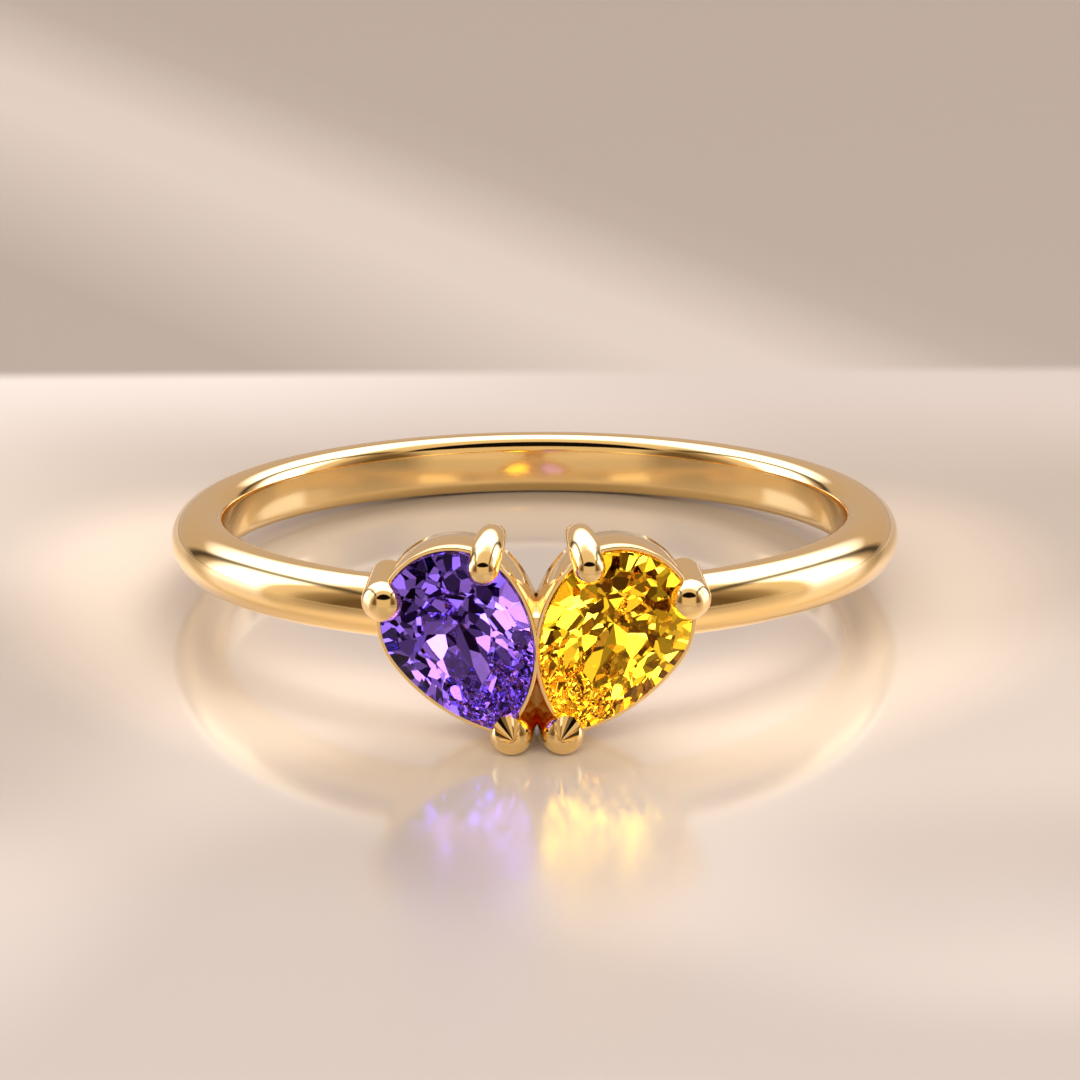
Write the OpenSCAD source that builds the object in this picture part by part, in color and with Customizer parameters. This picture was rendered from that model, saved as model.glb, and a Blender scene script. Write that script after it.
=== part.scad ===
// Gold finger ring whose two pear stones stand side by side, point down, and make a heart.
// The ring lies on its side: the head leads to -Y and rests on its two lower prongs, and the band
// rests on its lower edge at the back, so the ring's axis leans a few degrees from +Z. The origin is
// on the floor, under the middle of the ring's length and width.
// Head shapes are drawn once, for the left stone, in its own plane: x to the right, y up the finger's
// axis, z out of the stone's face, with z = 0 at the middle of the girdle. The right half is mirrored.

/* [Band] */
// Inside diameter of the band
inner_d = 17.3; // [15:0.1:20]
// Width of the band along the finger
band_w = 1.65; // [1.5:0.01:2.1]
// Thickness of the band from the finger outward
band_t = 1.5; // [1.3:0.02:1.9]
// Radius of the rounding on the band's two inner edges
edge_r = 0.42; // [0.3:0.01:0.5]
// Half width that is left to the band where it passes under the stones
under_half_w = 0.5; // [0.4:0.02:0.7]
// Radius of the scoops that narrow the band under the stones
scoop_r = 10; // [8:0.5:14]

/* [Stones] */
// Radius of a pear's round head
head_r = 1.9; // [1.8:0.01:1.95]
// Radius of a pear's outer flank
outer_flank_r = 5.16; // [4.8:0.01:5.5]
// Radius of a pear's inner flank, on the side of the other stone
inner_flank_r = 3.27; // [3.1:0.01:3.4]
// Distance from the heart's middle line to the centre of the round head
head_x = 2.293; // [2.27:0.001:2.35]
// Height of the round head's centre above the middle of the band
head_y = 0.463; // [0.4:0.001:0.5]
// Direction in which the round head passes into the outer flank, in degrees
outer_turn = 217.8; // [215:0.1:220]
// Direction in which the round head passes into the inner flank, in degrees
inner_turn = 38.9; // [37:0.1:41]
// Height of the crown from girdle to table
crown_h = 0.5; // [0.4:0.01:0.7]
// Depth of the pavilion from girdle to culet
pavilion_h = 1.6; // [1.3:0.01:1.7]
// Thickness of the girdle
girdle_t = 0.12; // [0.06:0.01:0.2]
// Size of the table as a part of the outline
table_part = 0.52; // [0.45:0.01:0.65]

/* [Head] */
// Height of the middle of the heart's face above the inside of the band
face_h = 3.65; // [3.55:0.01:3.95]
// Angle by which each stone turns away from the other
stone_turn = 5.3; // [3:0.1:7]
// Depth of the cup wall behind a stone
cup_depth = 1.95; // [1.8:0.05:2.1]
// How far the cup wall stands outside the stone
wall_out = 0.14; // [0.1:0.01:0.2]
// How far the cup wall reaches in under the stone
wall_in = 0.24; // [0.18:0.01:0.3]
// Clear gap between stone and gold
stone_gap = 0.03; // [0.02:0.005:0.05]
// Depth of the narrower rail that joins a cup to the band
rail_depth = 0.8; // [0.75:0.05:0.9]
// Radius of the upper prongs
upper_prong_r = 0.42; // [0.38:0.01:0.46]
// Radius of the side prongs
side_prong_r = 0.49; // [0.44:0.01:0.52]
// Radius of the prongs over the points of the stones
point_prong_r = 0.54; // [0.5:0.01:0.56]

/* [Hidden] */

inner_r = inner_d / 2;
face_y = inner_r + face_h;
flat_half = band_w / 2 - edge_r;
outer_mid_r = inner_r + band_t - band_w / 2;
curve_steps = 10;
dome_steps = 5;
edge_steps = 5;
outside_steps = 16;
prong_fn = 32;
band_fn = 180;

// Ends of the prong posts and claws, each [x, y, z] in the plane of the left stone
side_foot = [-3.95, 1.38, -2.8];
side_bend = [-4.23, 1.07, 0.14];
side_tip = [-3.98, 1.0, 0.34];
upper_foot = [-1.36, 2.32, -2.2];
upper_bend = [-1.28, 2.5, -0.7];
upper_tip = [-1.4, 1.98, 0.36];
point_foot = [-0.55, -2.42, -1.9];
point_bend = [-0.69, -2.63, 0.14];

// Where the pavilion's facets meet, counted from the centre of the pear's round head
culet_shift = [0.14, -0.2];

// Facets in a ring round the table, how far out and how high the stars' corners lie, and how far out
// from the culet the pavilion's lower corners lie
mains = 8;
star_part = 0.78;
star_rise = 0.56;
low_part = 0.3;

// How far the sloping seat under a stone's pavilion reaches in from its outline
seat_reach = 0.3;

// How far the rail's two faces lie inside the stone's outline, and how far it runs up into the cup
rail_out = 0.04;
rail_in = 0.6;
rail_lap = 0.15;

// A post is slimmer at its foot, a claw starts inside its post's domed end, and the side claws taper
prong_draft = 0.06;
claw_step = 0.04;
side_claw_draft = 0.04;

// The web that closes the valley between the two cups below, with a groove down its front that starts
// clear below the web
web_front = 0.9;
web_foot_half = 0.62;
web_foot_y = -2.76;
web_top_half = 0.1;
web_top_y = 0.2;
groove_half = 0.5;
groove_back = 1.7;
groove_reach = 1;

// The bridge that closes the seam above it, and the dip along its top
bridge_front = 0.16;
bridge_half = 0.2;
bridge_foot_half = 0.1;
bridge_foot_y = -0.1;
bridge_top_y = 0.8;
bridge_dip = 0.14;

// Rest pose: one plane touches the two point prongs and the band's lower edge at the back
point_rest = place_point(point_bend);
rest_dy = outer_mid_r - point_rest[1];
rest_dz = -point_rest[2];
rest_tilt = atan2(rest_dz, rest_dy) - asin((band_w / 2 - point_prong_r) / norm([rest_dy, rest_dz]));
rest_lift = outer_mid_r * sin(rest_tilt) + band_w / 2;
rest_front = point_rest[1] * cos(rest_tilt) + point_rest[2] * sin(rest_tilt) - point_prong_r;
rest_back = outer_mid_r * cos(rest_tilt) + band_w / 2;
rest_shift = -(rest_front + rest_back) / 2;

function on_circle(c, r, a) = [c[0] + r * cos(a), c[1] + r * sin(a)];
function arc(c, r, a, b, n) = [for (i = [0 : n]) on_circle(c, r, a + (b - a) * i / n)];
function heading(from, to) = atan2(to[1] - from[1], to[0] - from[0]);

// A point of the left stone's plane, carried to the ring's own frame before it is laid on its side
function place_point(p) = [
    p[0] * cos(stone_turn) - p[2] * sin(stone_turn),
    -face_y - p[0] * sin(stone_turn) - p[2] * cos(stone_turn),
    p[1]
];

// Pear outline: a round head and two flanks of their own radius that meet in a point
head_c = [-head_x, head_y];
outer_c = on_circle(head_c, outer_flank_r - head_r, outer_turn - 180);
inner_c = on_circle(head_c, inner_flank_r - head_r, inner_turn - 180);

// Where the two flanks cross at the point, for circles of radius r and s round outer_c and inner_c
function flank_point(r, s) =
    let (d = norm(inner_c - outer_c), u = (inner_c - outer_c) / d)
    let (a = (r * r - s * s + d * d) / (2 * d), h = sqrt(r * r - a * a))
    outer_c + a * u + h * [-u[1], u[0]];

// The outline, moved outward by grow
function pear(grow = 0) =
    let (r = head_r + grow, ro = outer_flank_r + grow, ri = inner_flank_r + grow)
    let (tip = flank_point(ro, ri))
    concat(
        arc(head_c, r, inner_turn, outer_turn, 2 * curve_steps),
        [for (i = [1 : curve_steps])
            on_circle(outer_c, ro,
                outer_turn + (heading(outer_c, tip) + 360 - outer_turn) * i / curve_steps)],
        [for (i = [1 : curve_steps - 1])
            on_circle(inner_c, ri,
                heading(inner_c, tip) + (inner_turn - heading(inner_c, tip)) * i / curve_steps)]
    );

// Where a ray from point c in direction a leaves the stone's outline
function ray_to(c, r, from, a) =
    let (m = from - c, u = [cos(a), sin(a)], b = m * u)
    -b + sqrt(b * b - m * m + r * r);
culet = head_c + culet_shift;
tip_turn = heading(culet, flank_point(outer_flank_r, inner_flank_r)) + 360;
function edge_reach(a) =
    let (on_head = ray_to(head_c, head_r, culet, a), p = on_circle(culet, on_head, a))
    let (t = (heading(head_c, p) + 360) % 360)
    t >= inner_turn && t <= outer_turn
        ? on_head
        : min(ray_to(outer_c, outer_flank_r, culet, a), ray_to(inner_c, inner_flank_r, culet, a));

// Cut stone: 8 main facets above and below, stars round the table and split facets at the girdle
edges = mains * 4;
function edge_turn(i) = tip_turn + 360 * i / edges;
function ring_at(i, part, z) = concat(on_circle(culet, edge_reach(edge_turn(i)) * part, edge_turn(i)), [z]);
star_h = girdle_t / 2 + star_rise * crown_h;
low_h = -girdle_t / 2 - pavilion_h * (1 - low_part * cos(180 / mains));
stone_points = concat(
    [for (i = [0 : 4 : edges - 1]) ring_at(i, table_part, girdle_t / 2 + crown_h)],
    [for (i = [2 : 4 : edges - 1]) ring_at(i, star_part, star_h)],
    [for (i = [0 : edges - 1]) ring_at(i, 1, girdle_t / 2)],
    [for (i = [0 : edges - 1]) ring_at(i, 1, -girdle_t / 2)],
    [for (i = [2 : 4 : edges - 1]) ring_at(i, low_part, low_h)],
    [concat(culet, [-girdle_t / 2 - pavilion_h])]
);
function table_at(i) = i % mains;
function star_at(i) = mains + (i + mains) % mains;
function top_at(i) = 2 * mains + (i + edges) % edges;
function bottom_at(i) = 2 * mains + edges + (i + edges) % edges;
function low_at(i) = 2 * mains + 2 * edges + (i + mains) % mains;
culet_at = 3 * mains + 2 * edges;
stone_faces = concat(
    [[for (i = [mains - 1 : -1 : 0]) table_at(i)]],
    [for (i = [0 : mains - 1]) [table_at(i), table_at(i + 1), star_at(i)]],
    [for (i = [0 : mains - 1]) [table_at(i), star_at(i), top_at(4 * i)]],
    [for (i = [0 : mains - 1]) [table_at(i), top_at(4 * i), star_at(i - 1)]],
    [for (i = [0 : edges - 1]) [star_at(floor(i / 4)), top_at(i + 1), top_at(i)]],
    [for (i = [0 : edges - 1]) [top_at(i), top_at(i + 1), bottom_at(i)]],
    [for (i = [0 : edges - 1]) [top_at(i + 1), bottom_at(i + 1), bottom_at(i)]],
    [for (i = [0 : edges - 1]) [low_at(floor(i / 4)), bottom_at(i), bottom_at(i + 1)]],
    [for (i = [0 : mains - 1]) [culet_at, bottom_at(4 * i), low_at(i)]],
    [for (i = [0 : mains - 1]) [culet_at, low_at(i - 1), bottom_at(4 * i)]]
);

// Lays the ring on its side, on the floor at z = 0
module laid() {
    translate([0, rest_shift, rest_lift])
    rotate([-rest_tilt, 0, 0])
    children();
}

// Carries the left stone's plane to the front of the ring
module in_face() {
    translate([0, -face_y, 0])
    rotate([0, 0, -stone_turn])
    rotate([90, 0, 0])
    children();
}

module both_sides() {
    children();
    mirror([1, 0, 0])
    children();
}

// A round bar from point a to point b with domed ends
module bar(a, b, ra, rb) {
    run = b - a;
    long = norm(run);
    translate(a)
    rotate([0, acos(run[2] / long), atan2(run[1], run[0])])
    rotate_extrude($fn = prong_fn)
    polygon(concat(
        [[0, -ra]],
        [for (i = [1 : dome_steps]) on_circle([0, 0], ra, 90 * (i / dome_steps - 1))],
        [for (i = [0 : dome_steps - 1]) on_circle([0, long], rb, 90 * i / dome_steps)],
        [[0, long + rb]]
    ));
}

// Band with a flat inside, rounded inner edges and a half round outside
module band() {
    difference() {
        rotate_extrude($fn = band_fn)
        polygon(concat(
            arc([inner_r + edge_r, flat_half], edge_r, 180, 90, edge_steps),
            arc([outer_mid_r, 0], band_w / 2, 90, -90, outside_steps),
            arc([inner_r + edge_r, -flat_half], edge_r, 270, 180, edge_steps)
        ));
        for (side = [-1, 1])
            translate([0, 0, side * (under_half_w + scoop_r)])
            rotate([90, 0, 0])
            cylinder(r = scoop_r, h = face_y, $fn = band_fn);
    }
}

// Wall that follows a stone's outline, with its rim just under the girdle
module cup() {
    translate([0, 0, -cup_depth])
    linear_extrude(cup_depth - girdle_t / 2 - stone_gap)
    difference() {
        polygon(pear(wall_out));
        polygon(pear(-wall_in));
    }
}

// Narrower rail behind a cup, which crosses the band and carries the cup on it
module rail() {
    translate([0, 0, -cup_depth - rail_depth])
    linear_extrude(rail_depth + rail_lap)
    difference() {
        polygon(pear(-rail_out));
        polygon(pear(-rail_in));
    }
}

// A prong: a post that rises from its foot and a slimmer claw that bends over the stone
module prong(foot, bend, tip, r, claw_draft) {
    bar(foot, bend, r - prong_draft, r);
    bar(bend, tip, r - claw_step, r - claw_step - claw_draft);
}

// Two prongs with claws, and the round head that covers the stone's point
module prongs() {
    prong(side_foot, side_bend, side_tip, side_prong_r, side_claw_draft);
    prong(upper_foot, upper_bend, upper_tip, upper_prong_r, 0);
    bar(point_foot, point_bend, point_prong_r - prong_draft, point_prong_r);
}

// Room that the stone needs in the metal: up along the pavilion, round the girdle, over the crown
module stone_room() {
    girdle_line = pear(stone_gap);
    n = len(girdle_line);
    shelf = girdle_t / 2 + stone_gap;
    seat = pear(-seat_reach);
    room_points = concat(
        [for (p = seat) [p[0], p[1], -shelf - seat_reach]],
        [for (p = girdle_line) [p[0], p[1], -shelf]],
        [for (p = girdle_line) [p[0], p[1], shelf]],
        [for (p = girdle_line) concat(culet + table_part * (p - culet), [shelf + crown_h])]
    );
    polyhedron(
        points = room_points,
        faces = concat(
            [[for (i = [0 : n - 1]) i]],
            [for (k = [0 : 2], i = [0 : n - 1])
                [k * n + i, (k + 1) * n + i, (k + 1) * n + (i + 1) % n]],
            [for (k = [0 : 2], i = [0 : n - 1])
                [k * n + i, (k + 1) * n + (i + 1) % n, k * n + (i + 1) % n]],
            [[for (i = [n - 1 : -1 : 0]) 3 * n + i]]
        )
    );
}

// A plate between the cups, from the back of their walls forward to a depth behind the face
module between_cups(front) {
    translate([0, -face_y + cup_depth, 0])
    rotate([90, 0, 0])
    linear_extrude(cup_depth - front)
    children();
}

// Web that closes the valley between the cups, set back behind their rims
module web() {
    difference() {
        between_cups(web_front)
        polygon([
            [-web_foot_half, web_foot_y],
            [web_foot_half, web_foot_y],
            [web_top_half, web_top_y],
            [-web_top_half, web_top_y]
        ]);
        translate([0, -face_y, web_foot_y - groove_reach])
        linear_extrude(-web_foot_y)
        polygon([
            [-groove_half, 0],
            [groove_half, 0],
            [groove_half, web_front],
            [0, groove_back],
            [-groove_half, web_front]
        ]);
    }
}

// Bridge that joins the two rims where they come nearest to each other
module bridge() {
    between_cups(bridge_front)
    polygon([
        [-bridge_foot_half, bridge_foot_y],
        [bridge_foot_half, bridge_foot_y],
        [bridge_half, bridge_top_y],
        [0, bridge_top_y - bridge_dip],
        [-bridge_half, bridge_top_y]
    ]);
}

module mounting() {
    color([0.86, 0.66, 0.3])
    laid()
    difference() {
        union() {
            band();
            web();
            bridge();
            both_sides()
            in_face() {
                cup();
                rail();
                prongs();
            }
        }
        both_sides()
        in_face()
        stone_room();
    }
}

module cut_stone() {
    polyhedron(points = stone_points, faces = stone_faces);
}

module violet_stone() {
    color([0.36, 0.16, 0.68])
    laid()
    in_face()
    cut_stone();
}

module golden_stone() {
    color([0.98, 0.76, 0.04])
    laid()
    mirror([1, 0, 0])
    in_face()
    cut_stone();
}

mounting();
violet_stone();
golden_stone();
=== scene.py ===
import math

import bmesh
import bpy
from mathutils import Matrix, Vector


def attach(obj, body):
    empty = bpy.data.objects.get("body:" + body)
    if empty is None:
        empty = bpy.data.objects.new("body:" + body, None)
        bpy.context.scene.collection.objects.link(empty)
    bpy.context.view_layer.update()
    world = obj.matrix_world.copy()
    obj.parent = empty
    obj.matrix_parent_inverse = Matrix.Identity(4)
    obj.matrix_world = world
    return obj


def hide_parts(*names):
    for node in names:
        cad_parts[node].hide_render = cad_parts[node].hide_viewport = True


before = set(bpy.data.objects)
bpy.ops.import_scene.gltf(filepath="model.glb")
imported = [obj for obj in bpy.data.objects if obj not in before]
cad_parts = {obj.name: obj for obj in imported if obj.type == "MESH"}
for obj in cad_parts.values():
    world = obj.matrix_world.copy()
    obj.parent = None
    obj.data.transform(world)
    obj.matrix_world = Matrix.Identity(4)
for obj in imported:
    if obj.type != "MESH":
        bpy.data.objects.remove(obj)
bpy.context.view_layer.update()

# Sizes in millimetres, as in the part's source
INNER_R = 8.65
BAND_W = 1.65
BAND_T = 1.5
EDGE_R = 0.42
FLAT_HALF = BAND_W / 2 - EDGE_R
OUTER_MID_R = INNER_R + BAND_T - BAND_W / 2
UNDER_HALF_W = 0.5
SCOOP_R = 10.0
FACE_Y = 12.3
STONE_TURN = 5.3
REST_TILT = 6.16319
REST_LIFT = 1.82614
REST_SHIFT = 1.5152
HEAD_R = 1.9
OUTER_FLANK_R = 5.16
INNER_FLANK_R = 3.27
HEAD_C = Vector((-2.293, 0.463))
OUTER_TURN = 217.8
INNER_TURN = 38.9
CULET = HEAD_C + Vector((0.14, -0.2))
CROWN_H = 0.5
PAVILION_H = 1.6
GIRDLE_T = 0.12
STONE_GAP = 0.03
CUP_DEPTH = 1.95
WALL_OUT = 0.14
RAIL_DEPTH = 0.8


# Places

def turn(axis, degrees):
    return Matrix.Rotation(math.radians(degrees), 4, axis)


LAID = (Matrix.Scale(0.001, 4) @ Matrix.Translation((0, REST_SHIFT, REST_LIFT)) @ turn("X", -REST_TILT))
FACE = Matrix.Translation((0, -FACE_Y, 0)) @ turn("Z", -STONE_TURN) @ turn("X", 90)
MIRRORED = Matrix.Scale(-1, 4, (1, 0, 0))
SIDES = {"left": LAID @ FACE, "right": LAID @ MIRRORED @ FACE}


def on_circle(centre, r, degrees):
    a = math.radians(degrees)
    return Vector((centre[0] + r * math.cos(a), centre[1] + r * math.sin(a)))


def heading(start, end):
    return math.degrees(math.atan2(end[1] - start[1], end[0] - start[0]))


OUTER_C = on_circle(HEAD_C, OUTER_FLANK_R - HEAD_R, OUTER_TURN - 180)
INNER_C = on_circle(HEAD_C, INNER_FLANK_R - HEAD_R, INNER_TURN - 180)


def flank_point(grow):
    """Where the two flanks of the outline meet, with the outline moved outward by grow."""
    r, s = OUTER_FLANK_R + grow, INNER_FLANK_R + grow
    between = INNER_C - OUTER_C
    d = between.length
    u = between / d
    a = (r * r - s * s + d * d) / (2 * d)
    h = math.sqrt(r * r - a * a)
    return OUTER_C + a * u + h * Vector((-u[1], u[0]))


# Modelling by hand

def take(piece):
    """Selects the piece alone and makes it the active one."""
    bpy.ops.object.select_all(action="DESELECT")
    piece.select_set(True)
    bpy.context.view_layer.objects.active = piece


def edit(piece):
    take(piece)
    bpy.ops.object.mode_set(mode="EDIT")


def done():
    bpy.ops.object.mode_set(mode="OBJECT")


def pick(piece, test):
    """Selects the vertices of the piece that pass the test, and nothing else."""
    bpy.ops.mesh.select_mode(type="VERT")
    bpy.ops.mesh.select_all(action="DESELECT")
    mesh = bmesh.from_edit_mesh(piece.data)
    for vertex in mesh.verts:
        if test(vertex):
            vertex.select_set(True)
    mesh.select_flush_mode()
    bmesh.update_edit_mesh(piece.data)


def dot(at):
    """Adds one vertex to the mesh in edit mode and leaves it selected."""
    bpy.ops.mesh.select_mode(type="VERT")
    bpy.ops.mesh.select_all(action="DESELECT")
    bpy.ops.mesh.primitive_circle_add(vertices=3, radius=0.01, location=at)
    bpy.ops.mesh.merge(type="CENTER")


def swing(centre, axis, degrees, steps):
    """Spins what is selected about the axis, by the right-hand rule."""
    bpy.ops.mesh.spin(steps=steps, angle=-math.radians(degrees), center=centre, axis=axis)


def pull(by):
    bpy.ops.mesh.extrude_region_move(TRANSFORM_OT_translate={"value": by})


SAME_SPOT = 1e-4


def close_up(piece, merge=SAME_SPOT):
    """Merges doubles and turns all faces outward, and leaves edit mode."""
    bpy.ops.mesh.select_mode(type="VERT")
    bpy.ops.mesh.select_all(action="SELECT")
    bpy.ops.mesh.remove_doubles(threshold=merge)
    face_out(piece)
    done()


def face_out(piece):
    """Turns all faces of a closed mesh in edit mode outward."""
    bpy.ops.mesh.select_all(action="SELECT")
    bpy.ops.mesh.normals_make_consistent(inside=False)
    if bmesh.from_edit_mesh(piece.data).calc_volume(signed=True) < 0:
        bpy.ops.mesh.flip_normals()


def new_mesh(name):
    """An empty mesh object in edit mode, made from a primitive whose vertices are deleted."""
    bpy.ops.object.select_all(action="DESELECT")
    bpy.ops.mesh.primitive_circle_add(vertices=3, radius=0.01)
    piece = bpy.context.object
    piece.name = name
    edit(piece)
    bpy.ops.mesh.select_all(action="SELECT")
    bpy.ops.mesh.delete(type="VERT")
    return piece


def smooth(piece, degrees=40):
    """Shades the piece smooth, but for edges sharper than an angle."""
    take(piece)
    bpy.ops.object.shade_smooth_by_angle(angle=math.radians(degrees))


def apply_all(piece):
    take(piece)
    for modifier in list(piece.modifiers):
        bpy.ops.object.modifier_apply(modifier=modifier.name)


def place(piece, matrix):
    """Carries a piece from its drawing in millimetres to its place in the frame, in its mesh."""
    piece.matrix_world = matrix
    take(piece)
    bpy.ops.object.transform_apply(location=True, rotation=True, scale=True)
    if matrix.determinant() < 0:
        edit(piece)
        face_out(piece)
        done()


def copy_of(piece, name):
    twin = piece.copy()
    twin.data = piece.data.copy()
    twin.name = name
    bpy.context.collection.objects.link(twin)
    return twin


def outline(grow, z, steps, part=1):
    """Points round the stone's outline, moved outward by grow and drawn in towards the culet to a part."""
    tip = flank_point(grow)
    from_inner = heading(INNER_C, tip)
    from_outer = heading(OUTER_C, tip) + 360
    points = []
    for centre, r, start, end, share in (
        (INNER_C, INNER_FLANK_R, from_inner, INNER_TURN, 0.3),
        (HEAD_C, HEAD_R, INNER_TURN, OUTER_TURN, 0.4),
        (OUTER_C, OUTER_FLANK_R, OUTER_TURN, from_outer, 0.3),
    ):
        count = round(steps * share)
        for i in range(count):
            at = on_circle(centre, r + grow, start + (end - start) * i / count)
            at = CULET + part * (at - CULET)
            points.append(Vector((at[0], at[1], z)))
    return points


def settle(piece, numbers, ring):
    """Moves each numbered vertex to its point of the ring."""
    mesh = bmesh.from_edit_mesh(piece.data)
    mesh.verts.ensure_lookup_table()
    for index, number in numbers.items():
        mesh.verts[index].co = ring[number]
    bmesh.update_edit_mesh(piece.data)


def loft(name, rings, closed=False):
    """A circle that is extruded from ring to ring, and closed with faces or back to its first ring."""
    bpy.ops.object.select_all(action="DESELECT")
    bpy.ops.mesh.primitive_circle_add(vertices=len(rings[0]), radius=1)
    piece = bpy.context.object
    piece.name = name
    edit(piece)
    bpy.ops.mesh.select_mode(type="VERT")
    bpy.ops.mesh.select_all(action="SELECT")
    numbers = {i: i for i in range(len(rings[0]))}
    settle(piece, numbers, rings[0])
    for ring in rings[1:] + rings[:1] * closed:
        pull((0, 0, 1))
        mesh = bmesh.from_edit_mesh(piece.data)
        mesh.verts.index_update()
        numbers = {v.index: numbers[edge.other_vert(v).index] for v in mesh.verts if v.select
                   for edge in v.link_edges if not edge.other_vert(v).select}
        settle(piece, numbers, ring)
    if not closed:
        bpy.ops.mesh.select_mode(type="EDGE")
        bpy.ops.mesh.select_all(action="DESELECT")
        bpy.ops.mesh.select_non_manifold()
        bpy.ops.mesh.fill_holes(sides=0)
    close_up(piece)
    return piece


def sweep(name, path, radii, sides):
    """A round bar along a path in the XZ plane: a circle, extruded, turned and scaled at each point."""
    bpy.ops.object.select_all(action="DESELECT")
    first = path[1] - path[0]
    lean = math.atan2(first[0], first[1])
    bpy.ops.mesh.primitive_circle_add(
        vertices=sides, radius=radii[0], fill_type="NGON",
        location=(path[0][0], 0, path[0][1]), rotation=(0, lean, 0))
    piece = bpy.context.object
    piece.name = name
    bpy.ops.object.transform_apply(location=True, rotation=True, scale=True)
    edit(piece)
    bpy.ops.mesh.select_mode(type="VERT")
    bpy.ops.mesh.select_all(action="SELECT")
    for i in range(1, len(path)):
        step = path[i] - path[i - 1]
        at = (path[i][0], 0, path[i][1])
        pull((step[0], 0, step[1]))
        if i < len(path) - 1:
            ahead = path[i + 1] - path[i - 1]
            new_lean = math.atan2(ahead[0], ahead[1])
        else:
            new_lean = math.atan2(step[0], step[1])
        bpy.ops.transform.rotate(value=-(new_lean - lean), orient_axis="Y", center_override=at)
        part = radii[i] / radii[i - 1]
        bpy.ops.transform.resize(value=(part, part, part), center_override=at)
        lean = new_lean
    close_up(piece)
    return piece


def bar(name, a, b, ra, rb):
    """A straight round bar from a to b with domed ends, in millimetres on the left stone's plane."""
    a, b = Vector(a), Vector(b)
    run = b - a
    steps, sides = 8, 48
    path, radii = [], []
    for i in range(1, steps + 1):
        t = math.radians(90 * i / steps)
        path.append(Vector((0, -ra * math.cos(t))))
        radii.append(ra * math.sin(t))
    for i in range(0, steps):
        t = math.radians(90 * i / steps)
        path.append(Vector((0, run.length + rb * math.sin(t))))
        radii.append(rb * math.cos(t))
    piece = sweep(name, path, radii, sides)
    place(piece, Matrix.Translation(a) @ run.to_track_quat("Z", "Y").to_matrix().to_4x4())
    return piece


def join(parts, name):
    bpy.ops.object.select_all(action="DESELECT")
    for part in parts:
        part.select_set(True)
    bpy.context.view_layer.objects.active = parts[0]
    bpy.ops.object.join()
    parts[0].name = name
    return parts[0]


CAST_VOXEL = 0.025


def melt(piece, rounds):
    """Runs the bars of a prong together as cast metal does, and smooths the result."""
    remesh = piece.modifiers.new("cast", "REMESH")
    remesh.mode = "VOXEL"
    remesh.voxel_size = CAST_VOXEL
    polish = piece.modifiers.new("polish", "SMOOTH")
    polish.factor = 0.5
    polish.iterations = rounds
    apply_all(piece)


def cut_with(piece, cutter):
    carve = piece.modifiers.new("carve", "BOOLEAN")
    carve.operation = "DIFFERENCE"
    carve.solver = "EXACT"
    carve.object = cutter
    apply_all(piece)


def drop(*pieces):
    bpy.ops.object.select_all(action="DESELECT")
    for piece in pieces:
        piece.select_set(True)
    bpy.ops.object.delete()


# The band: its section is drawn with spins and spun round the finger, then drawn in under the stones

BAND_STEPS = 360
SCOOPED_STEPS = 20


def make_band():
    piece = new_mesh("band")
    dot((INNER_R, 0, -FLAT_HALF))
    pull((0, 0, 2 * FLAT_HALF))
    swing((INNER_R + EDGE_R, 0, FLAT_HALF), (0, 1, 0), 90, 10)
    pull((OUTER_MID_R - INNER_R - EDGE_R, 0, 0))
    swing((OUTER_MID_R, 0, 0), (0, 1, 0), 180, 32)
    pull((INNER_R + EDGE_R - OUTER_MID_R, 0, 0))
    swing((INNER_R + EDGE_R, 0, -FLAT_HALF), (0, 1, 0), 90, 10)
    bpy.ops.mesh.select_all(action="SELECT")
    bpy.ops.mesh.remove_doubles(threshold=SAME_SPOT)
    bpy.ops.mesh.select_all(action="SELECT")
    swing((0, 0, 0), (0, 0, 1), 360, BAND_STEPS)
    bpy.ops.mesh.select_all(action="SELECT")
    bpy.ops.mesh.remove_doubles(threshold=SAME_SPOT)
    for k in range(-SCOOPED_STEPS, SCOOPED_STEPS + 1):
        side = -90 + k * 360 / BAND_STEPS
        u = Vector((math.cos(math.radians(side)), math.sin(math.radians(side))))
        x = abs(OUTER_MID_R * u[0])
        half = UNDER_HALF_W + SCOOP_R - math.sqrt(SCOOP_R ** 2 - x * x)
        if half >= BAND_W / 2:
            continue
        ease = half / (BAND_W / 2)
        pick(piece, lambda v: v.co.y < 0 and abs(v.co.x * u[1] - v.co.y * u[0]) < 0.02)
        bpy.ops.transform.resize(value=(1, 1, ease), center_override=(0, 0, 0))
    close_up(piece)
    smooth(piece)
    place(piece, LAID)
    return piece


# A cup: outlines of the stone, one after another round the wall's section, from the seat over the rim
# with its small groove, down the swelling wall to the rail, and back up inside

RIM = -GIRDLE_T / 2 - STONE_GAP
CUP_LOW = -CUP_DEPTH
RAIL_LOW = -CUP_DEPTH - RAIL_DEPTH
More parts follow.
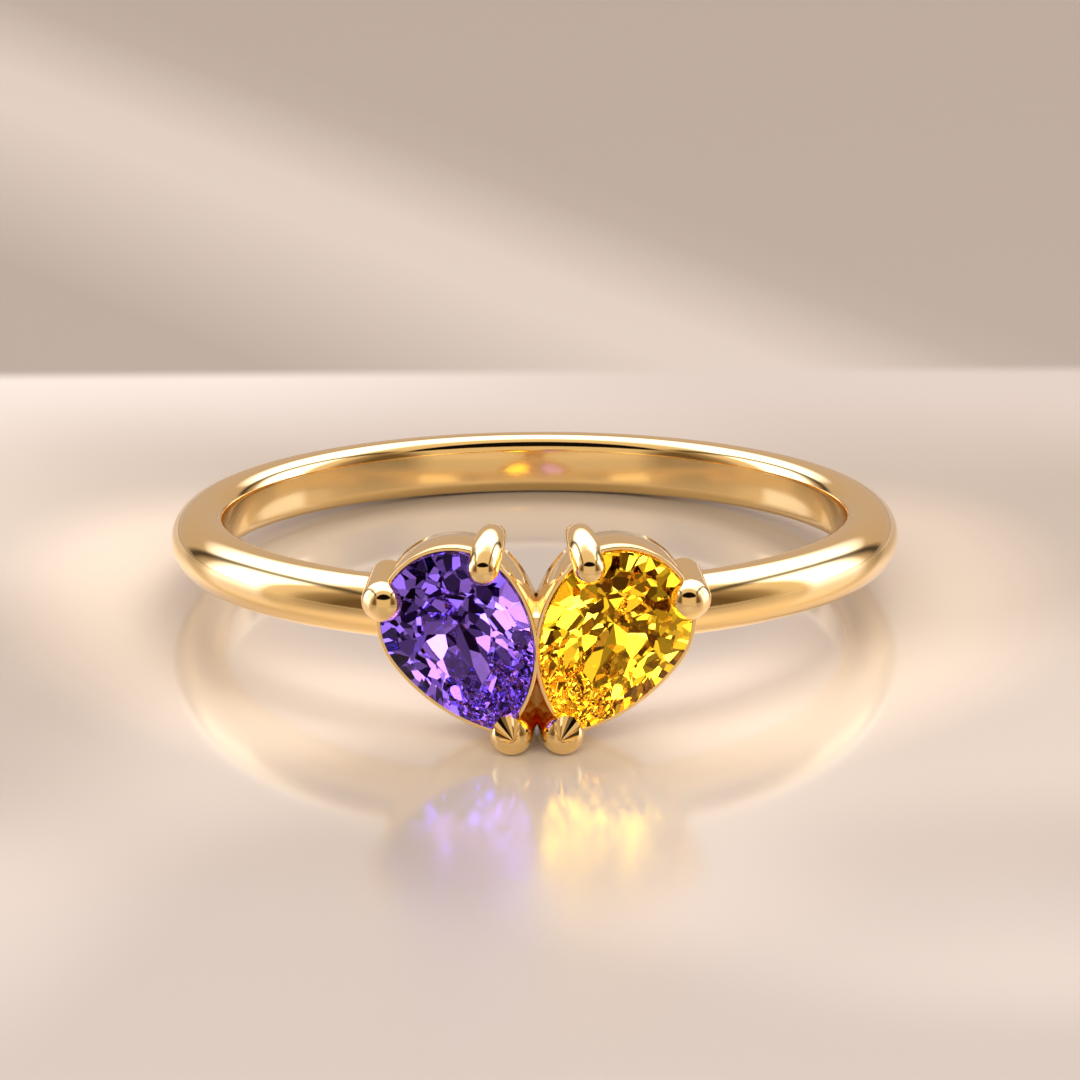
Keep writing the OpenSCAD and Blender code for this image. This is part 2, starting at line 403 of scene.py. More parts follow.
# Columns: how far outside the stone's outline, height over the stone's plane
CUP_SECTION = (
    (-0.24, RIM - 0.27), (0.0, RIM - 0.03), (0.035, RIM), (0.095, RIM + 0.005), (0.12, RIM - 0.005),
    (0.137, RIM - 0.03), (0.14, RIM - 0.06), (0.14, RIM - 0.1), (0.118, RIM - 0.12), (0.115, RIM - 0.15),
    (0.128, RIM - 0.19), (0.145, RIM - 0.3), (0.162, RIM - 0.5), (0.168, RIM - 0.75), (0.166, RIM - 1.1),
    (0.15, CUP_LOW + 0.05), (0.135, CUP_LOW + 0.012), (0.09, CUP_LOW), (0.0, CUP_LOW),
    (-0.035, CUP_LOW - 0.02), (-0.04, CUP_LOW - 0.06), (-0.04, RAIL_LOW + 0.04), (-0.07, RAIL_LOW),
    (-0.57, RAIL_LOW), (-0.6, RAIL_LOW + 0.04), (-0.6, CUP_LOW + 0.1), (-0.56, CUP_LOW + 0.15),
    (-0.3, CUP_LOW + 0.17), (-0.24, CUP_LOW + 0.22),
)


def make_cup():
    piece = loft("left_cup", [outline(grow, z, 200) for grow, z in CUP_SECTION], closed=True)
    smooth(piece, 35)
    return piece


# Room for the stone in the claws that bend over it

def make_stone_room():
    shelf = GIRDLE_T / 2 + STONE_GAP
    return loft("stone_room", [outline(grow, z, 60, part) for grow, z, part in (
        (-0.3, -shelf - 0.3, 1), (STONE_GAP, -shelf, 1), (STONE_GAP, shelf, 1),
        (STONE_GAP, shelf + CROWN_H, 0.52))])


# The prongs

def between(points, steps):
    """Runs a smooth curve through the points, which all have the same number of values."""
    ends = [2 * points[0] - points[1]] + list(points) + [2 * points[-1] - points[-2]]
    path = []
    for a, b, c, d in zip(ends, ends[1:], ends[2:], ends[3:]):
        for i in range(steps):
            t = i / steps
            path.append(0.5 * (2 * b + (c - a) * t + (2 * a - 5 * b + 4 * c - d) * t * t
                               + (3 * b - 3 * c + d - a) * t ** 3))
    return path + [points[-1]]


def wire(name, start, towards, stations):
    """A bent wire with domed ends. Its stations are (distance along a heading of the stone's plane,
    height over that plane, radius), and its heading leads from start towards a point."""
    run = between([Vector(station) for station in stations], 8)
    steps, sides = 9, 56
    spots, radii = [], []
    first = Vector((run[1][0] - run[0][0], run[1][1] - run[0][1])).normalized()
    last = Vector((run[-1][0] - run[-2][0], run[-1][1] - run[-2][1])).normalized()
    for i in range(1, steps):
        t = math.radians(90 * i / steps)
        r = run[0][2]
        spots.append(Vector((run[0][0], run[0][1])) - first * (r * math.cos(t)))
        radii.append(r * math.sin(t))
    for spot in run:
        spots.append(Vector((spot[0], spot[1])))
        radii.append(spot[2])
    for i in range(1, steps):
        t = math.radians(90 * i / steps)
        r = run[-1][2]
        spots.append(Vector((run[-1][0], run[-1][1])) + last * (r * math.sin(t)))
        radii.append(r * math.cos(t))
    piece = sweep(name, spots, radii, sides)
    place(piece, Matrix.Translation((start[0], start[1], 0)) @ turn("Z", heading(start, towards)))
    return piece


def make_upper_prong(room):
    piece = wire("left_upper_prong", (-1.31, 2.5), (-1.41, 1.96), (
        (0.2, -2.2, 0.37), (0.05, -1.5, 0.39), (0.0, -0.85, 0.42), (0.12, -0.25, 0.44), (0.32, 0.1, 0.44),
        (0.52, 0.33, 0.435)))
    melt(piece, 8)
    cut_with(piece, room)
    smooth(piece)
    return piece


def make_side_prong(room):
    foot, bend, tip = (-4.17, 1.23, -1.75), (-4.17, 1.06, 0.14), (-4.09, 1.02, 0.26)
    post, claw = bar("post", foot, bend, 0.5, 0.54), bar("claw", bend, tip, 0.54, 0.52)
    piece = join([post, claw], "left_side_prong")
    melt(piece, 24)
    cut_with(piece, room)
    smooth(piece)
    return piece


FAN_FOLDS = 13
FAN_FOLD = 0.88
FAN_WIDE = 1.54
FAN_LONG = 1.2
FAN_APEX = Vector((-0.58, -2.7, 0.5))
FAN_AIM = Vector((-0.38, 0.755, 0.53)).normalized()


def make_fan():
    """A folded cone that cuts the fan into a point prong's ball: every other vertex of its rim is
    drawn in, and it opens from its apex along its aim."""
    bpy.ops.object.select_all(action="DESELECT")
    bpy.ops.mesh.primitive_cone_add(
        vertices=2 * FAN_FOLDS, radius1=1.0, radius2=0, depth=FAN_LONG, end_fill_type="NGON")
    fan = bpy.context.object
    edit(fan)
    rim = sorted((math.degrees(math.atan2(v.co.y, v.co.x)), v.index)
                 for v in bmesh.from_edit_mesh(fan.data).verts if v.co.z < 0)
    inner = {index for _, index in rim[::2]}
    pick(fan, lambda v: v.index in inner)
    bpy.ops.transform.resize(value=(FAN_FOLD, FAN_FOLD, 1), center_override=(0, 0, 0))
    done()
    place(fan, Matrix.Translation(FAN_APEX) @ (-FAN_AIM).to_track_quat("Z", "X").to_matrix().to_4x4()
          @ Matrix.Diagonal((FAN_WIDE, FAN_WIDE, 1.0, 1.0)) @ Matrix.Translation((0, 0, -FAN_LONG / 2)))
    return fan


def make_point_prong(room):
    foot, bend = (-0.55, -2.42, -1.9), (-0.68, -2.58, 0.1)
    piece = bar("left_point_prong", foot, bend, 0.48, 0.58)
    melt(piece, 6)
    cut_with(piece, room)
    fan = make_fan()
    cut_with(piece, fan)
    drop(fan)
    smooth(piece, 25)
    return piece


# The web in the valley between the cups, and the fillet that joins their rims above it

def hollow(half, front, sag, back, h):
    """A level section of the web, whose front is a round hollow, at a height of the ring."""
    steps = 20
    r = (half * half + sag * sag) / (2 * sag)
    reach = math.degrees(math.atan2(half, r - sag))
    centre = (0, -FACE_Y + front + sag - r)
    arc = [on_circle(centre, r, 90 + reach - 2 * reach * i / steps) for i in range(steps + 1)]
    return [Vector((x, y, h)) for x, y in
            [(-half, -FACE_Y + back)] + [tuple(p) for p in arc] + [(half, -FACE_Y + back)]]


def wall_gap(h, depth):
    """How far a cup's outer wall stands from the middle plane at this height and depth."""
    r = INNER_FLANK_R + WALL_OUT
    x = INNER_C[0] + math.sqrt(r * r - (h - INNER_C[1]) ** 2)
    a = math.radians(STONE_TURN)
    return max(0.0, -(x * math.cos(a) + depth * math.sin(a)))


WEB_LOW = -2.76
WEB_STEP = 0.2
WEB_BACK = 1.93


def make_web():
    sections = []
    for k in range(15):
        h = WEB_LOW + WEB_STEP * k
        deep = min(1.0, max(0.0, (0.1 - h) / 1.5))
        front, sag = 0.14 + 0.62 * deep, 0.05 + 0.62 * deep
        sections.append(hollow(wall_gap(h, front) + 0.1, front, sag, WEB_BACK, h))
    piece = loft("web", sections)
    smooth(piece)
    place(piece, LAID)
    return piece


def make_fillet():
    half, rise, tall, steps = 0.24, 0.17, 0.5, 16
    r = (half * half + rise * rise) / (2 * rise)
    reach = math.degrees(math.atan2(half, r - rise))
    sections = []
    for depth, top in ((0.13, 0.57), (0.16, 0.6), (0.5, 0.65), (1.0, 0.71), (1.5, 0.76), (1.9, 0.79)):
        arc = [on_circle((0, top + r), r, -90 - reach + 2 * reach * i / steps) for i in range(steps + 1)]
        sections.append([Vector((x, -FACE_Y + depth, z)) for x, z in
                         [(-half, top - tall)] + [tuple(p) for p in arc] + [(half, top - tall)]])
    piece = loft("fillet", sections)
    smooth(piece)
    place(piece, LAID)
    return piece


# The stones: a blank with the pear's outline, cut facet by facet with planes

def girdle_point(degrees):
    """The point of the outline whose outward normal has this direction."""
    tip = flank_point(0)
    from_inner, from_outer = heading(INNER_C, tip), heading(OUTER_C, tip) + 360
    a = (degrees - from_inner) % 360 + from_inner
    if a <= INNER_TURN:
        return on_circle(INNER_C, INNER_FLANK_R, a)
    if a <= OUTER_TURN:
        return on_circle(HEAD_C, HEAD_R, a)
    if a <= from_outer:
        return on_circle(OUTER_C, OUTER_FLANK_R, a)
    return tip


def around(count, offset):
    """Directions of the outline's normals, at even steps of its length from its tip."""
    tip = flank_point(0)
    arcs = ((INNER_FLANK_R, heading(INNER_C, tip), INNER_TURN), (HEAD_R, INNER_TURN, OUTER_TURN),
            (OUTER_FLANK_R, OUTER_TURN, heading(OUTER_C, tip) + 360))
    lengths = [r * (b - a) for r, a, b in arcs]
    directions = []
    for i in range(count):
        at = (i + offset) / count * sum(lengths)
        for (r, a, b), length in zip(arcs, lengths):
            if at <= length:
                directions.append(a + at / r)
                break
            at -= length
    return directions


def facet(point, normal):
    bpy.ops.mesh.select_all(action="SELECT")
    bpy.ops.mesh.bisect(plane_co=point, plane_no=normal, use_fill=True, clear_outer=True, threshold=1e-6)


def row(count, offset, girdle, height, near, far):
    """A row of facets. Near and far are (part of the way from the culet to the girdle, part of the
    height), at the facets' inner and outer end."""
    for degrees in around(count, offset):
        a = math.radians(degrees)
        out = Vector((math.cos(a), math.sin(a)))
        width = (girdle_point(degrees) - CULET).dot(out)
        steep = abs(height) * (near[1] - far[1]) / ((far[0] - near[0]) * width)
        at = CULET + far[0] * width * out
        facet(Vector((at[0], at[1], girdle + height * far[1])),
              Vector((out[0] * steep, out[1] * steep, math.copysign(1, height))).normalized())


# Columns: facets, offset, near, far
PAVILION_ROWS = (
    (9, 0.5, (0.0, 1.0), (0.28, 0.77)),
    (9, 0.02, (0.28, 0.77), (0.6, 0.45)),
    (18, 0.3, (0.6, 0.45), (1.0, 0.0)),
)
CROWN_ROWS = ((9, 0.3, (0.52, 1.0), (0.78, 0.6)), (18, 0.5, (0.78, 0.6), (1.0, 0.0)))


def make_stone(name):
    blank = outline(0, 0, 96)
    piece = loft(name, [[p + Vector((0, 0, z)) for p in blank] for z in (-2.2, 1.0)])
    edit(piece)
    top, low = GIRDLE_T / 2, -GIRDLE_T / 2
    facet((0, 0, top + CROWN_H), (0, 0, 1))
    for count, offset, near, far in PAVILION_ROWS:
        row(count, offset, low, -PAVILION_H, near, far)
    for count, offset, near, far in CROWN_ROWS:
        row(count, offset, top, CROWN_H, near, far)
    close_up(piece, 0.002)
    return piece


# Materials

def new_material(name):
    material = bpy.data.materials.new(name)
    material.use_nodes = True
    nodes, links = material.node_tree.nodes, material.node_tree.links
    return material, nodes, links, nodes["Principled BSDF"]


def socket(group, name, kind, way, value=None):
    made = group.interface.new_socket(name=name, in_out=way, socket_type=kind)
    if value is not None:
        made.default_value = value


def maths(nodes, links, operation, a, b=None):
    """A Math node of one or two values. Each is a plain number or a node's output."""
    node = nodes.new("ShaderNodeMath")
    node.operation = operation
    for i, value in enumerate((a, b)):
        if isinstance(value, float):
            node.inputs[i].default_value = value
        elif value is not None:
            links.new(value, node.inputs[i])
    return node.outputs[0]


def vector_maths(nodes, links, operation, a, b=None):
    """A Vector Math node of one or two vectors, the second one plain."""
    node = nodes.new("ShaderNodeVectorMath")
    node.operation = operation
    links.new(a, node.inputs[0])
    if b is not None:
        node.inputs[1].default_value = b
    return node.outputs["Value" if operation in ("DISTANCE", "DOT_PRODUCT", "LENGTH") else "Vector"]


def polish_group():
    """Marks of polishing: fine lines and soft smudges, from a position."""
    group = bpy.data.node_groups.new("polish marks", "ShaderNodeTree")
    socket(group, "Position", "NodeSocketVector", "INPUT")
    socket(group, "Size", "NodeSocketFloat", "INPUT", 1000.0)
    socket(group, "Lines", "NodeSocketFloat", "INPUT", 0.5)
    socket(group, "Base roughness", "NodeSocketFloat", "INPUT", 0.08)
    socket(group, "Smudge", "NodeSocketFloat", "INPUT", 0.05)
    socket(group, "Roughness", "NodeSocketFloat", "OUTPUT")
    socket(group, "Height", "NodeSocketFloat", "OUTPUT")
    nodes, links = group.nodes, group.links
    start, end = nodes.new("NodeGroupInput"), nodes.new("NodeGroupOutput")
    sized = nodes.new("ShaderNodeVectorMath")
    sized.operation = "SCALE"
    links.new(start.outputs["Position"], sized.inputs[0])
    links.new(start.outputs["Size"], sized.inputs["Scale"])
    stretched = nodes.new("ShaderNodeMapping")
    stretched.inputs["Scale"].default_value = (1.0, 1.0, 14.0)
    links.new(sized.outputs[0], stretched.inputs["Vector"])
    lines = nodes.new("ShaderNodeTexNoise")
    lines.inputs["Scale"].default_value = 2.2
    lines.inputs["Detail"].default_value = 4.0
    links.new(stretched.outputs[0], lines.inputs["Vector"])
    smudges = nodes.new("ShaderNodeTexNoise")
    smudges.inputs["Scale"].default_value = 0.45
    smudges.inputs["Detail"].default_value = 3.0
    smudges.inputs["Distortion"].default_value = 0.6
    links.new(sized.outputs[0], smudges.inputs["Vector"])
    faded = nodes.new("ShaderNodeMapRange")
    faded.inputs["From Min"].default_value = 0.45
    faded.inputs["From Max"].default_value = 0.75
    links.new(smudges.outputs["Fac"], faded.inputs["Value"])
    dulled = maths(nodes, links, "MULTIPLY", faded.outputs[0], start.outputs["Smudge"])
    rough = maths(nodes, links, "ADD", dulled, start.outputs["Base roughness"])
    links.new(rough, end.inputs["Roughness"])
    height = maths(nodes, links, "MULTIPLY", lines.outputs["Fac"], start.outputs["Lines"])
    links.new(height, end.inputs["Height"])
    return group


POLISH = polish_group()


def gold(name, colour, roughness, lines, smudge):
    material, nodes, links, shader = new_material(name)
    shader.inputs["Metallic"].default_value = 1.0
    place_at = nodes.new("ShaderNodeTexCoord")
    marks = nodes.new("ShaderNodeGroup")
    marks.node_tree = POLISH
    marks.inputs["Size"].default_value = 1000.0
    marks.inputs["Lines"].default_value = lines
    marks.inputs["Base roughness"].default_value = roughness
    marks.inputs["Smudge"].default_value = smudge
    links.new(place_at.outputs["Object"], marks.inputs["Position"])
    links.new(marks.outputs["Roughness"], shader.inputs["Roughness"])
    relief = nodes.new("ShaderNodeBump")
    relief.inputs["Strength"].default_value = 0.08
    relief.inputs["Distance"].default_value = 0.00001
    links.new(marks.outputs["Height"], relief.inputs["Height"])
    links.new(relief.outputs[0], shader.inputs["Normal"])
    hue = nodes.new("ShaderNodeTexNoise")
    hue.inputs["Scale"].default_value = 180.0
    links.new(place_at.outputs["Object"], hue.inputs["Vector"])
    tint = nodes.new("ShaderNodeMix")
    tint.data_type = "RGBA"
    tint.inputs["A"].default_value = (*colour, 1)
    tint.inputs["B"].default_value = (colour[0] * 0.98, colour[1] * 0.95, colour[2] * 0.88, 1)
    links.new(hue.outputs["Fac"], tint.inputs["Factor"])
    links.new(tint.outputs["Result"], shader.inputs["Base Color"])
    material.diffuse_color = (*colour, 1)
    return material


def gem(name, colour, sheen, absorb, density):
    material, nodes, links, shader = new_material(name)
    shader.inputs["Specular Tint"].default_value = (*sheen, 1)
    shader.inputs["Transmission Weight"].default_value = 1.0
    shader.inputs["Roughness"].default_value = 0.0
    shader.inputs["IOR"].default_value = 1.85
    place_at = nodes.new("ShaderNodeTexCoord")
    zones = nodes.new("ShaderNodeTexNoise")
    zones.inputs["Scale"].default_value = 420.0
    zones.inputs["Detail"].default_value = 1.0
    links.new(place_at.outputs["Object"], zones.inputs["Vector"])
    tint = nodes.new("ShaderNodeMix")
    tint.data_type = "RGBA"
    tint.inputs["A"].default_value = (*colour, 1)
    tint.inputs["B"].default_value = (colour[0] * 0.8, colour[1] * 0.75, colour[2] * 0.95, 1)
    links.new(zones.outputs["Fac"], tint.inputs["Factor"])
    links.new(tint.outputs["Result"], shader.inputs["Base Color"])
    inside = nodes.new("ShaderNodeVolumeAbsorption")
    inside.inputs["Color"].default_value = (*absorb, 1)
    inside.inputs["Density"].default_value = density
    links.new(inside.outputs[0], nodes["Material Output"].inputs["Volume"])
    material.diffuse_color = (*colour, 1)
    return material


def set_material(piece, material):
    piece.data.materials.clear()
    piece.data.materials.append(material)


GOLD = (0.95, 0.715, 0.35)
band_gold = gold("polished band gold", GOLD, 0.07, 0.4, 0.03)
head_gold = gold("polished head gold", GOLD, 0.06, 0.25, 0.03)
prong_gold = gold("burnished prong gold", GOLD, 0.08, 0.3, 0.03)
# The valley gold is brushed, and its dark colour is painted shade for the recess between the cups
valley_gold_painted_shade = gold("brushed valley gold", (0.37, 0.21, 0.08), 0.16, 1.0, 0.06)
violet = gem("violet stone", (0.235, 0.125, 0.4), (0.11, 0.04, 0.27), (0.55, 0.39, 0.78), 130.0)
yellow = gem("golden yellow stone", (1.0, 0.6, 0.02), (1.0, 0.45, 0.06), (1.0, 0.66, 0.25), 70.0)


# The ring

def finish_piece(piece, material, slot, *nodes):
    set_material(piece, material)
    piece.visible_transmission = "gem" in slot
    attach(piece, "root")
    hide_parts(*nodes)


finish_piece(make_band(), band_gold, "gold", "mounting")
finish_piece(make_web(), valley_gold_painted_shade, "gold", "mounting")
finish_piece(make_fillet(), head_gold, "gold", "mounting")

room = make_stone_room()
left_pieces = [
    (make_cup(), head_gold),
    (make_upper_prong(room), prong_gold),
    (make_side_prong(room), prong_gold),
    (make_point_prong(room), prong_gold),
]
drop(room)
for piece, material in left_pieces:
    twin = copy_of(piece, piece.name.replace("left", "right"))
    place(piece, SIDES["left"])
    place(twin, SIDES["right"])
    for one in (piece, twin):
        finish_piece(one, material, "gold", "mounting")

violet_cut = make_stone("violet_cut_stone")
golden_cut = copy_of(violet_cut, "golden_cut_stone")
place(violet_cut, SIDES["left"])
place(golden_cut, SIDES["right"])
finish_piece(violet_cut, violet, "violet_gem", "violet_stone")
finish_piece(golden_cut, yellow, "golden_gem", "golden_stone")


# Floor: one wide pale sheet, glossy near the ring, that turns to a taupe backdrop behind it. Light is
# painted into its colour: soft patches, a bright rear edge, a warm glow round the ring and a beam across
# the backdrop. Its places are in metres, as in the frame

FLOOR_SIZE = 6.0
BACKDROP_Y = 0.0212
GLOSS_END_Y = -0.0185
GLOW_R = 0.0105
GLOW_TONE = (1.45, 1.42, 1.35)
PALE_TONES = (0.285, 0.24, 0.192), (0.4, 0.345, 0.285)
EDGE_LIGHT_TONES = (0.47, 0.42, 0.365), (0.34, 0.29, 0.245)
BEAM_WAY = (1.25, 1.0, 0.0)
GLOW_FADE = (0.001, 0.006)
GLOW_END_Y = (0.007, 0.013)
EDGE_X = (-0.01, 0.006)
REAR_Y = 0.01
FLOOR_ROUGHNESS = 0.26
GLOSS_ROUGHNESS = 0.1
REAR_ROUGHNESS = 0.15
BACKDROP_BEAM_TONES = ((0.0, (0.195, 0.16, 0.12)), (0.012, (0.2, 0.162, 0.122)), (0.027, (0.34, 0.292, 0.235)),
                  (0.031, (0.34, 0.292, 0.235)), (0.04, (0.2, 0.162, 0.122)))


def map_range(nodes, links, value, low, high, start=0.0, end=1.0):
    """A soft step of a value from start to end, between low and high."""
    step = nodes.new("ShaderNodeMapRange")
    step.interpolation_type = "SMOOTHSTEP"
    for name, number in (("From Min", low), ("From Max", high), ("To Min", start), ("To Max", end)):
        step.inputs[name].default_value = number
    links.new(value, step.inputs["Value"])
    return step.outputs["Result"]


def mix_colours(nodes, links, share, a, b):
    """Two colours mixed by a share. Each is a plain colour or a node's output."""
    blend = nodes.new("ShaderNodeMix")
    blend.data_type = "RGBA"
    links.new(share, blend.inputs["Factor"])
    for name, colour in (("A", a), ("B", b)):
        if isinstance(colour, tuple):
            blend.inputs[name].default_value = (*colour, 1)
        else:
            links.new(colour, blend.inputs[name])
    return blend.outputs["Result"]


def stepped(nodes, links, value, stops, interpolation="LINEAR"):
    """A colour ramp through the stops, read at a value."""
    ramp = nodes.new("ShaderNodeValToRGB")
    ramp.color_ramp.interpolation = interpolation
    bands = ramp.color_ramp.elements
    bands.remove(bands[-1])
    bands[0].position = stops[0][0]
    bands[0].color = (*stops[0][1], 1)
    for position, colour in stops[1:]:
        bands.new(position).color = (*colour, 1)
    links.new(value, ramp.inputs[0])
    return ramp.outputs[0]


def make_floor():
    bpy.ops.object.select_all(action="DESELECT")
    bpy.ops.mesh.primitive_plane_add(size=FLOOR_SIZE)
    floor = bpy.context.object
    floor.name = "floor"
    material, nodes, links, shader = new_material("pale floor")
    place_at = nodes.new("ShaderNodeTexCoord")
    along = nodes.new("ShaderNodeSeparateXYZ")
    links.new(place_at.outputs["Object"], along.inputs[0])
    # Soft patches of painted light on the floor, from noise
    light_patches = nodes.new("ShaderNodeTexNoise")
    light_patches.inputs["Scale"].default_value = 45.0
    light_patches.inputs["Detail"].default_value = 1.0
    links.new(place_at.outputs["Object"], light_patches.inputs["Vector"])
    light = map_range(nodes, links, light_patches.outputs["Fac"], 0.42, 0.66)
    pale = mix_colours(nodes, links, light, *PALE_TONES)
    # A painted highlight along the floor's rear edge, brighter to the left
    to_right = map_range(nodes, links, along.outputs["X"], *EDGE_X)
    to_edge = map_range(nodes, links, along.outputs["Y"], REAR_Y, BACKDROP_Y + 0.002)
    lit_edge = mix_colours(nodes, links, to_edge, pale, mix_colours(nodes, links, to_right, *EDGE_LIGHT_TONES))

    # The warm light that the ring throws round itself, painted into the floor's colour, which also lifts
    # its shadow, by the distance from the band
    middle = (0.0, REST_SHIFT / 1000, 0.0)
    from_ring = vector_maths(nodes, links, "DISTANCE", place_at.outputs["Object"], middle)
    from_band = maths(nodes, links, "ABSOLUTE", maths(nodes, links, "SUBTRACT", from_ring, GLOW_R))
    close = map_range(nodes, links, from_band, *GLOW_FADE, 1.0, 0.0)
    in_front = map_range(nodes, links, along.outputs["Y"], *GLOW_END_Y, 1.0, 0.0)
    glow = maths(nodes, links, "MULTIPLY", close, in_front)
    warmed = nodes.new("ShaderNodeMix")
    warmed.data_type = "RGBA"
    warmed.blend_type = "MULTIPLY"
    warmed.clamp_result = False
    warmed.inputs["B"].default_value = (*GLOW_TONE, 1)
    links.new(glow, warmed.inputs["Factor"])
    links.new(lit_edge, warmed.inputs["A"])

    # A painted beam of light across the taupe backdrop, in a diagonal band
    across = vector_maths(nodes, links, "DOT_PRODUCT", place_at.outputs["Object"], BEAM_WAY)
    beam = stepped(nodes, links, across, BACKDROP_BEAM_TONES)
    behind = map_range(nodes, links, along.outputs["Y"], BACKDROP_Y - 0.0006, BACKDROP_Y + 0.0006)
    tone = mix_colours(nodes, links, behind, warmed.outputs["Result"], beam)
    links.new(tone, shader.inputs["Base Color"])

    near = map_range(nodes, links, along.outputs["Y"], GLOSS_END_Y - 0.006, GLOSS_END_Y + 0.005,
                     FLOOR_ROUGHNESS, GLOSS_ROUGHNESS)
    rear = map_range(nodes, links, along.outputs["Y"], REAR_Y, BACKDROP_Y, 0.0, REAR_ROUGHNESS)
    links.new(maths(nodes, links, "ADD", near, rear), shader.inputs["Roughness"])
    set_material(floor, material)
    floor.visible_transmission = False


make_floor()


# Light: a warm studio all round, and soft boxes

def studio():
    """A warm studio, and for what is seen through the cut stones a finer one of small bright panels."""
    world = bpy.data.worlds.new("studio")
    bpy.context.scene.world = world
    world.use_nodes = True
    nodes, links = world.node_tree.nodes, world.node_tree.links
    nodes.clear()
    out = nodes.new("ShaderNodeOutputWorld")
    sky = nodes.new("ShaderNodeBackground")
    towards = nodes.new("ShaderNodeTexCoord")
    parts = nodes.new("ShaderNodeSeparateXYZ")
    links.new(towards.outputs["Generated"], parts.inputs[0])
    angle = maths(nodes, links, "ARCTAN2", parts.outputs["Z"], parts.outputs["Y"])
    share = maths(nodes, links, "DIVIDE", angle, math.pi)
    overhead = stepped(nodes, links, share, [(a / 180, colour) for a, colour in OVERHEAD_BANDS])
    forward_part = map_range(nodes, links, parts.outputs["Y"], -1.0, 1.0)
    forward_part.node.interpolation_type = "LINEAR"
    beside = stepped(nodes, links, forward_part, [((y + 1) / 2, colour) for y, colour in SIDE_BANDS])
    sideways = maths(nodes, links, "ABSOLUTE", parts.outputs["X"])
    to_side = map_range(nodes, links, sideways, SEAM_X[0], SEAM_X[3])
    room = mix_colours(nodes, links, to_side, overhead, beside)
    seam = stepped(nodes, links, sideways, [(x, (tone, tone, tone)) for x, tone in zip(SEAM_X, SEAM_TONES)])
    shaded = nodes.new("ShaderNodeMix")
    shaded.data_type = "RGBA"
    shaded.blend_type = "MULTIPLY"
    links.new(map_range(nodes, links, parts.outputs["Y"], *SEAM_FADE_Y), shaded.inputs["Factor"])
    links.new(room, shaded.inputs["A"])
    links.new(seam, shaded.inputs["B"])
    spread = nodes.new("ShaderNodeCombineXYZ")
    links.new(parts.outputs["X"], spread.inputs["X"])
    links.new(share, spread.inputs["Y"])
    off = vector_maths(nodes, links, "SUBTRACT", spread.outputs[0], (0.0, DARK_AT, 0.0))
    scaled = vector_maths(nodes, links, "DIVIDE", off, (*DARK_HALF, 1.0))
    dark = map_range(nodes, links, vector_maths(nodes, links, "LENGTH", scaled), 0.85, 1.0, 1.0, 0.0)
    mirrored = mix_colours(nodes, links, dark, shaded.outputs["Result"], DARK_TONE)
    links.new(mirrored, sky.inputs["Color"])

    cells = nodes.new("ShaderNodeTexVoronoi")
    cells.inputs["Scale"].default_value = PANEL_SCALE
    links.new(towards.outputs["Generated"], cells.inputs["Vector"])
    one = nodes.new("ShaderNodeSeparateColor")
    links.new(cells.outputs["Color"], one.inputs[0])
    panels = stepped(nodes, links, one.outputs[0], PANEL_TONES, "CONSTANT")
    sparkle = nodes.new("ShaderNodeBackground")
    links.new(panels, sparkle.inputs["Color"])
    through = nodes.new("ShaderNodeLightPath")
    passed = maths(nodes, links, "GREATER_THAN", through.outputs["Transmission Depth"], 0.5)
    either = nodes.new("ShaderNodeMixShader")
    links.new(passed, either.inputs[0])
    links.new(sky.outputs[0], either.inputs[1])
    links.new(sparkle.outputs[0], either.inputs[2])
    links.new(either.outputs[0], out.inputs[0])


# What the gold mirrors: overhead by degrees from the rear horizon over the top to the front horizon,
# beside by the direction's part to the rear, and a dark seam between the two, by its part to the side,
# which fades towards the front. A black oval stands high in front: its middle is at DARK_AT of the way
# over the top, and its half sizes are the direction's part to the side and a part of that way.
WHITE = (2.6, 2.6, 3.1)
OVERHEAD_BANDS = (
    (0, (0.60, 0.46, 0.36)), (19, (0.62, 0.48, 0.38)), (31, WHITE), (72, WHITE),
    (82, (0.95, 0.78, 0.6)), (108, (0.85, 0.66, 0.46)), (180, (0.8, 0.62, 0.44)),
)
SIDE_BANDS = (
    (-1.0, (0.2, 0.13, 0.08)), (-0.42, (0.16, 0.1, 0.05)), (-0.2, (0.42, 0.3, 0.2)),
    (-0.08, (0.9, 0.72, 0.55)), (0.06, (1.0, 0.8, 0.62)), (0.14, WHITE), (0.5, WHITE),
    (0.62, (0.62, 0.48, 0.38)), (1.0, (0.6, 0.46, 0.36)),
)
SEAM_X = (0.58, 0.65, 0.69, 0.77)
SEAM_TONES = (1.0, 0.14, 0.14, 1.0)
SEAM_FADE_Y = (-0.35, -0.15)
DARK_AT = 124 / 180
DARK_HALF = (0.72, 20 / 180)
DARK_TONE = (0.006, 0.004, 0.003)
# The bright panels that only rays which have passed through a stone can see
PANEL_SCALE = 9.0
PANEL_TONES = (
    (0.0, (0.0, 0.0, 0.0)), (0.2, (0.1, 0.1, 0.1)), (0.36, (0.35, 0.35, 0.35)), (0.52, (0.75, 0.75, 0.75)),
    (0.68, (1.4, 1.4, 1.4)), (0.84, (2.6, 2.7, 4.0)), (0.93, (4.2, 5.0, 14.0)),
)
studio()


SOFT_BOX_TONE = (1.0, 0.95, 0.88)


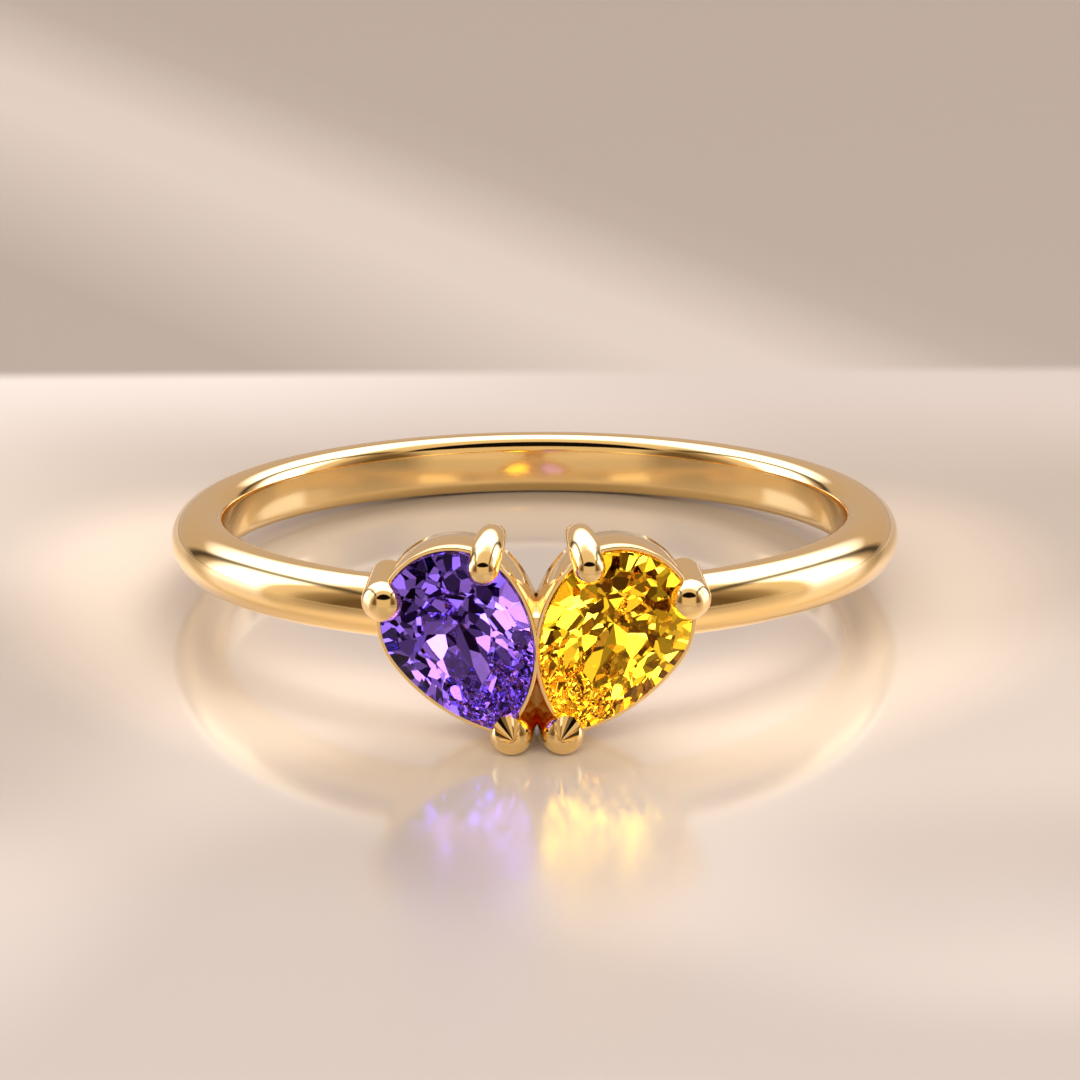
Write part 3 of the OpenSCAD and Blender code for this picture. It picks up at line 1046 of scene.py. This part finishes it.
def soft_box(name, direction, distance, size, power):
    """An area light that stands off in a direction (azimuth from -Y to +X, elevation) and faces the
    ring. The gold doesn't mirror it."""
    azimuth, elevation = (math.radians(a) for a in direction)
    way = Vector((math.sin(azimuth) * math.cos(elevation), -math.cos(azimuth) * math.cos(elevation),
                  math.sin(elevation)))
    bpy.ops.object.light_add(type="AREA", location=way * distance)
    light = bpy.context.object
    light.name = name
    light.rotation_euler = way.to_track_quat("Z", "Y").to_euler()
    light.data.shape = "RECTANGLE"
    light.data.size, light.data.size_y = size
    light.data.energy = power
    light.data.color = SOFT_BOX_TONE
    light.visible_glossy = False


soft_box("front fill", (0, 34), 0.5, (0.7, 0.3), 4.0)
soft_box("key", (150, 55), 0.6, (0.35, 0.3), 2.0)


# Camera: fitted to the photograph's outlines, in its 1080 pixels

FRAME_PX = 1080
PX_PER_MM = 35.777
CAMERA_MM = 300.0
SENSOR = 36
elevation, azimuth, roll = math.radians(13.274 + REST_TILT), math.radians(0.17), math.radians(0.334)
forward = Vector((math.sin(azimuth) * math.cos(elevation), math.cos(azimuth) * math.cos(elevation),
                  -math.sin(elevation)))
ring_centre = Vector((0, REST_SHIFT, REST_LIFT))
bpy.ops.object.camera_add()
camera = bpy.context.object
camera.name = "camera"
camera.matrix_world = (Matrix.Translation((ring_centre - CAMERA_MM * forward) * 0.001)
                       @ Matrix.Rotation(-azimuth, 4, "Z")
                       @ Matrix.Rotation(math.pi / 2 - elevation, 4, "X")
                       @ Matrix.Rotation(-roll, 4, "Z"))
camera.data.sensor_width = SENSOR
camera.data.lens = SENSOR * PX_PER_MM * CAMERA_MM / FRAME_PX
camera.data.shift_x = 5.46 / FRAME_PX
camera.data.shift_y = -5.25 / FRAME_PX
camera.data.clip_start = 0.01
camera.data.clip_end = 20
camera.data.dof.use_dof = False
bpy.context.scene.camera = camera
bpy.context.scene.view_settings.view_transform = "Standard"
light_paths = bpy.context.scene.cycles
light_paths.max_bounces = light_paths.transmission_bounces = light_paths.glossy_bounces = 24
